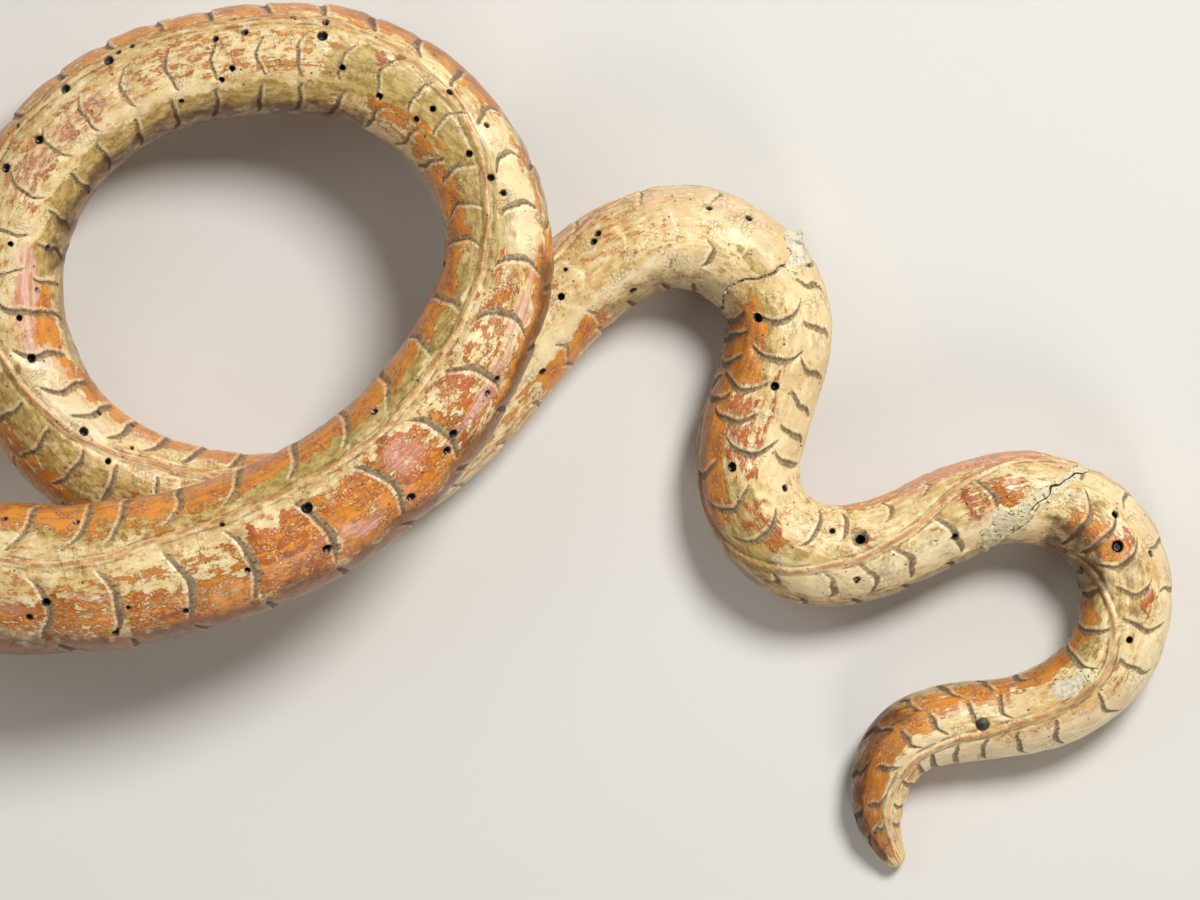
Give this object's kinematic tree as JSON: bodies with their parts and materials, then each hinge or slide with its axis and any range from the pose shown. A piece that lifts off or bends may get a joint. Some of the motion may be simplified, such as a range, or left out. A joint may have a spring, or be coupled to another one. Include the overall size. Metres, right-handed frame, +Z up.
{
  "type": "carved wooden snake",
  "caption": "Rigid carved and gilded wooden snake lying flat, with an open coil crossing over itself, a tail in waves that hooks round at the tip, and a smooth head.",
  "frame": {"origin": "middle of the snake's outline on the surface it lies on", "axes": "+X from the head end toward the tail bend, +Y toward the top of the coil, +Z up from the surface it lies on"},
  "size_m": [0.3673, 0.2037, 0.0565],
  "materials": {
    "gilded_wood": "worn gilding and orange glaze over gesso, satin",
    "bare_wood": "plain turned hardwood, matt",
    "filler": "grey-white chalk filler, matt and granular",
    "iron": "dark oxidised iron"
  },
  "bodies": {
    "root": {"head_section": "gilded_wood", "neck_section": "gilded_wood", "coil_front_section": "gilded_wood", "coil_top_section": "gilded_wood", "coil_side_section": "gilded_wood", "coil_rear_section": "gilded_wood", "tail_wave_section": "gilded_wood", "tail_bend_section": "gilded_wood", "tail_end_section": "gilded_wood", "hump_fill": "filler", "crest_fill": "filler", "tail_fill": "filler", "head_dowel": "bare_wood", "neck_dowel": "bare_wood", "coil_dowels": "bare_wood", "hump_dowel": "bare_wood", "crest_dowel": "bare_wood", "tail_dowel": "bare_wood", "crossing_peg": "bare_wood", "iron_pin": "iron"}
  },
  "joints": []
}
